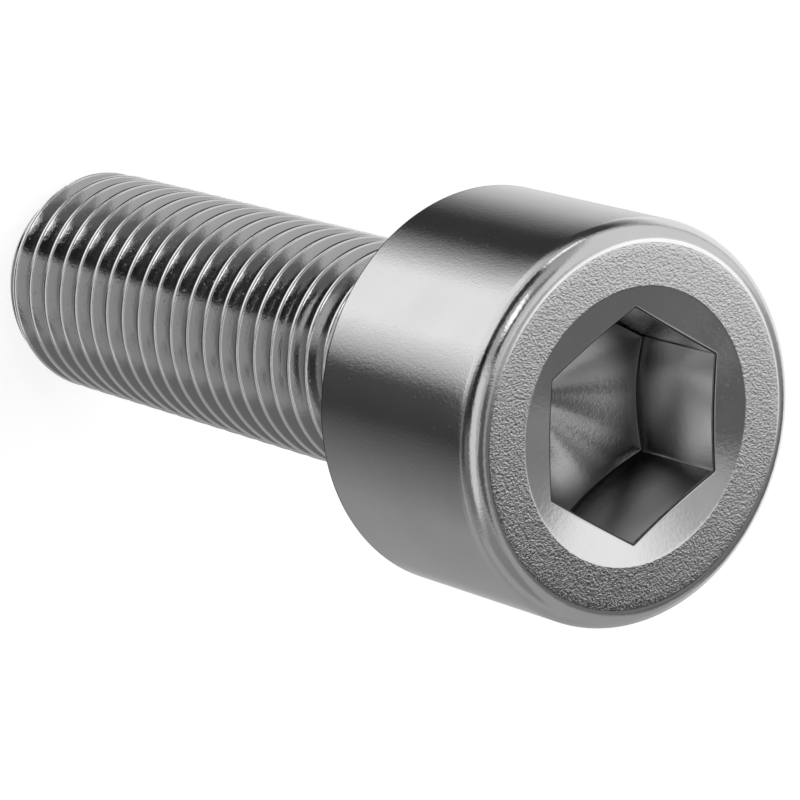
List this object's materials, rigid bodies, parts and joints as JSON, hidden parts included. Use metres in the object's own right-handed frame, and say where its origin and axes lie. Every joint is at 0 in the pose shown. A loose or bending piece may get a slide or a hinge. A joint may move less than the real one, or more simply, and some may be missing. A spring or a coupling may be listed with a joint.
{
  "type": "socket head cap screw",
  "caption": "Fully threaded cap screw with a round head and a hexagon socket, for clamping parts together with a hexagon key.",
  "frame": {"origin": "centre of the bearing face under the head", "axes": "+Z along the screw's axis from the tip toward the head, +X through a corner of the hexagon"},
  "size_m": [0.01, 0.01, 0.024],
  "materials": {
    "steel": "satin bare steel: turned head side, finely pebbled forged face, smooth thread"
  },
  "bodies": {
    "root": {"screw": "steel"}
  },
  "joints": []
}
